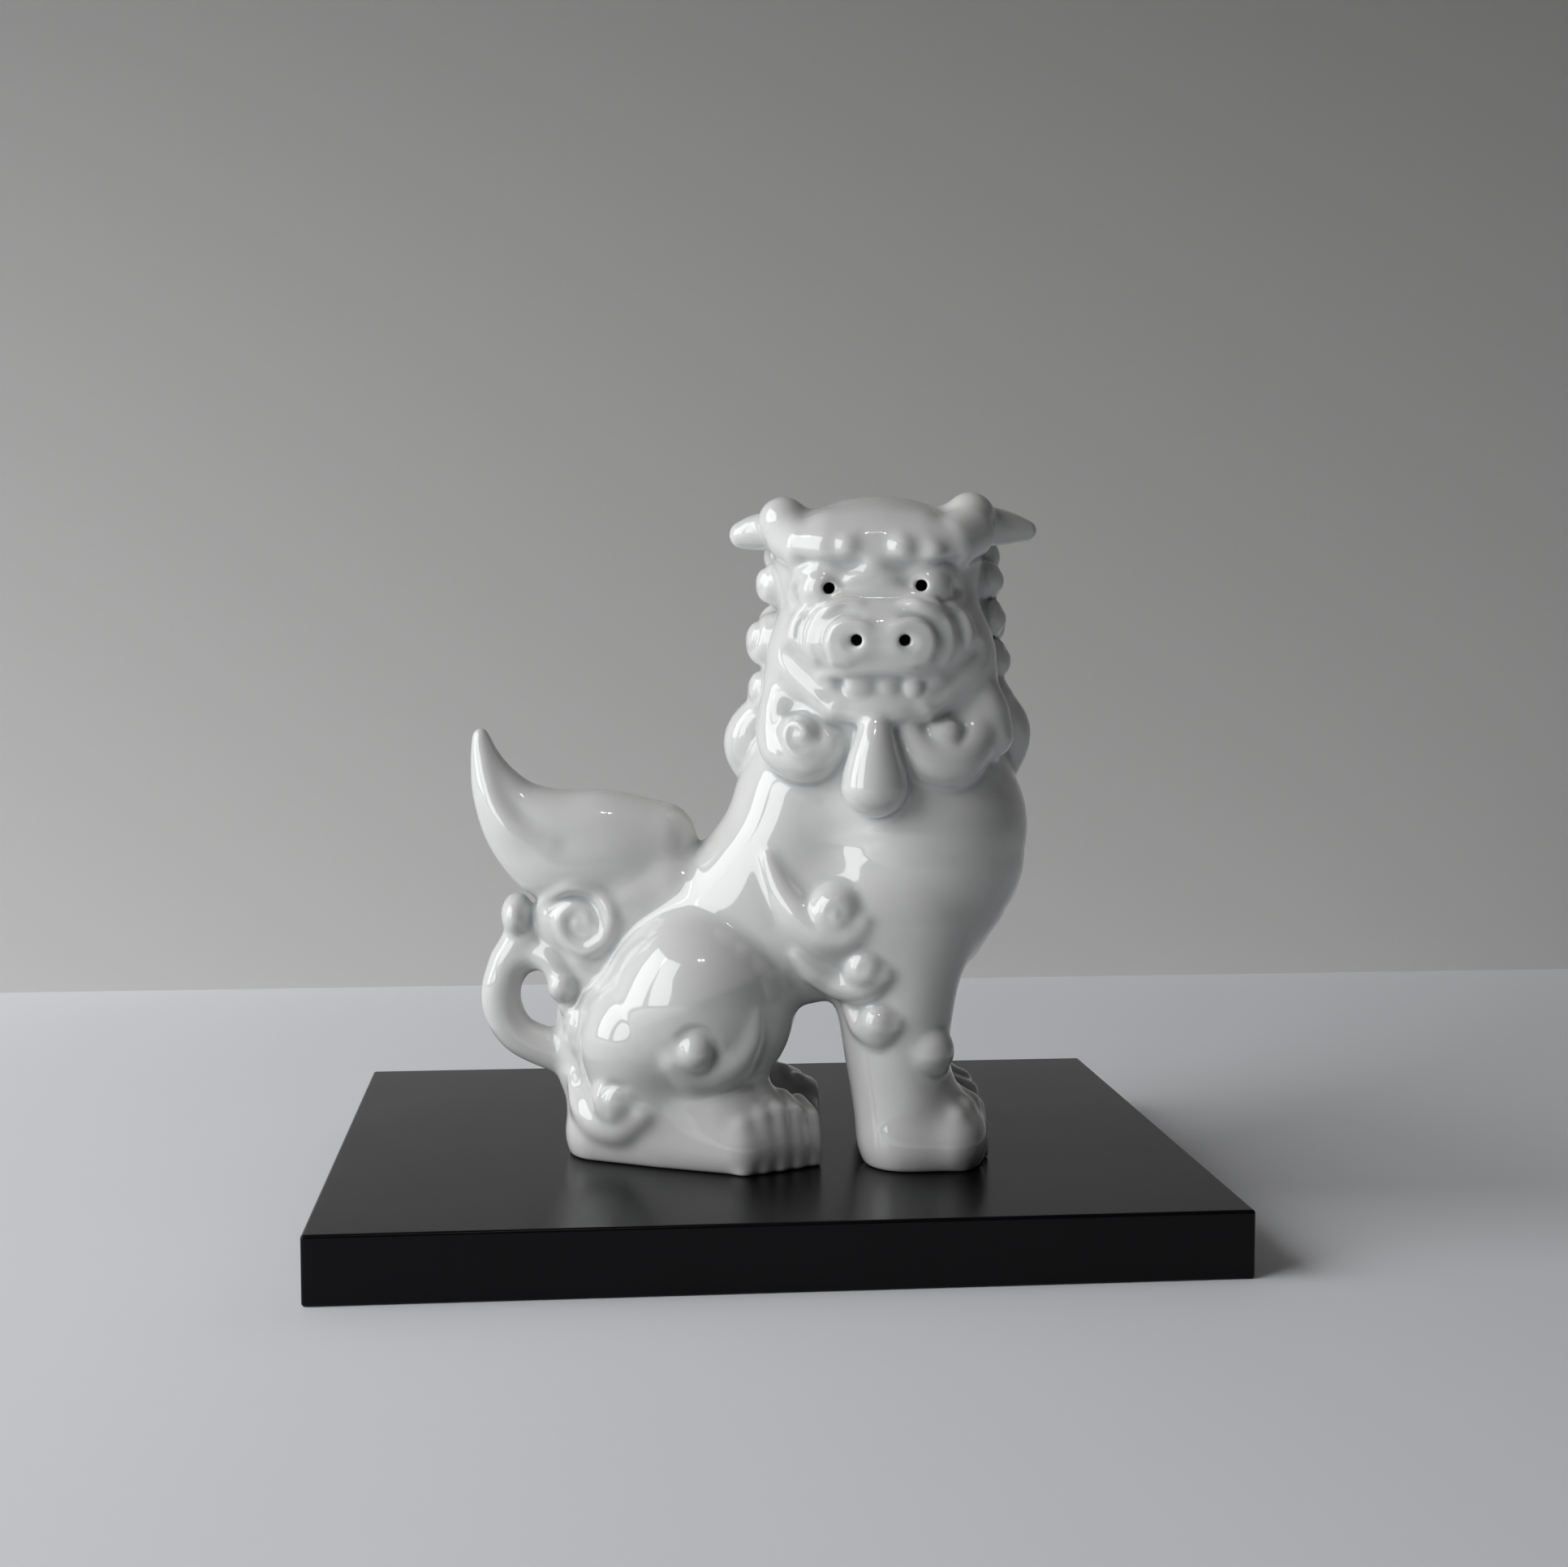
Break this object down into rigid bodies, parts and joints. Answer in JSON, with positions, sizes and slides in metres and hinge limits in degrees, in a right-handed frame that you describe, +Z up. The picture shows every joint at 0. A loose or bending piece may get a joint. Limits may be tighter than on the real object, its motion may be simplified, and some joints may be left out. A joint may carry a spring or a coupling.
{
  "type": "guardian lion statue",
  "caption": "Seated guardian lion of glazed porcelain, head turned to one side, with curled mane and upswept tail, standing loose on a black lacquered display board.",
  "frame": {"origin": "centre of the board's underside", "axes": "+Z up, +X along the board's length towards the lion's chest, +Y across the board away from the side that the lion's face looks to"},
  "size_m": [0.2, 0.16, 0.1701],
  "materials": {
    "porcelain": "clear glossy glaze, faintly blue-grey where it pools",
    "lacquer": "black satin lacquer"
  },
  "bodies": {
    "board": {"display_board": "lacquer"},
    "figure": {"torso_shell": "porcelain", "haunch_right": "porcelain", "haunch_left": "porcelain", "foreleg_right": "porcelain", "foreleg_left": "porcelain", "forepaw_right": "porcelain", "forepaw_left": "porcelain", "hind_paw_right": "porcelain", "hind_paw_left": "porcelain", "head_shell": "porcelain", "muzzle": "porcelain", "lower_jaw": "porcelain", "eye_right": "porcelain", "eye_left": "porcelain", "brow_right": "porcelain", "brow_left": "porcelain", "crown_knob_right": "porcelain", "crown_knob_left": "porcelain", "ear_right": "porcelain", "ear_left": "porcelain", "throat_curl_right": "porcelain", "throat_curl_left": "porcelain", "beard_lock": "porcelain", "mane_curls_right": "porcelain", "mane_curls_left": "porcelain", "mane_curls_back": "porcelain", "leg_curls_right": "porcelain", "leg_curls_left": "porcelain", "haunch_curls_right": "porcelain", "haunch_curls_left": "porcelain", "tail_stem": "porcelain", "tail_plume": "porcelain", "tail_loop": "porcelain", "tail_curl_right": "porcelain", "tail_curl_left": "porcelain", "tail_knob": "porcelain", "tail_tuft_right": "porcelain", "tail_tuft_left": "porcelain"}
  },
  "joints": [
    {"name": "figure_lift", "type": "slide", "parent": "board", "child": "figure", "axis": [0, 0, 1], "range_m": [0, 0.05]}
  ]
}
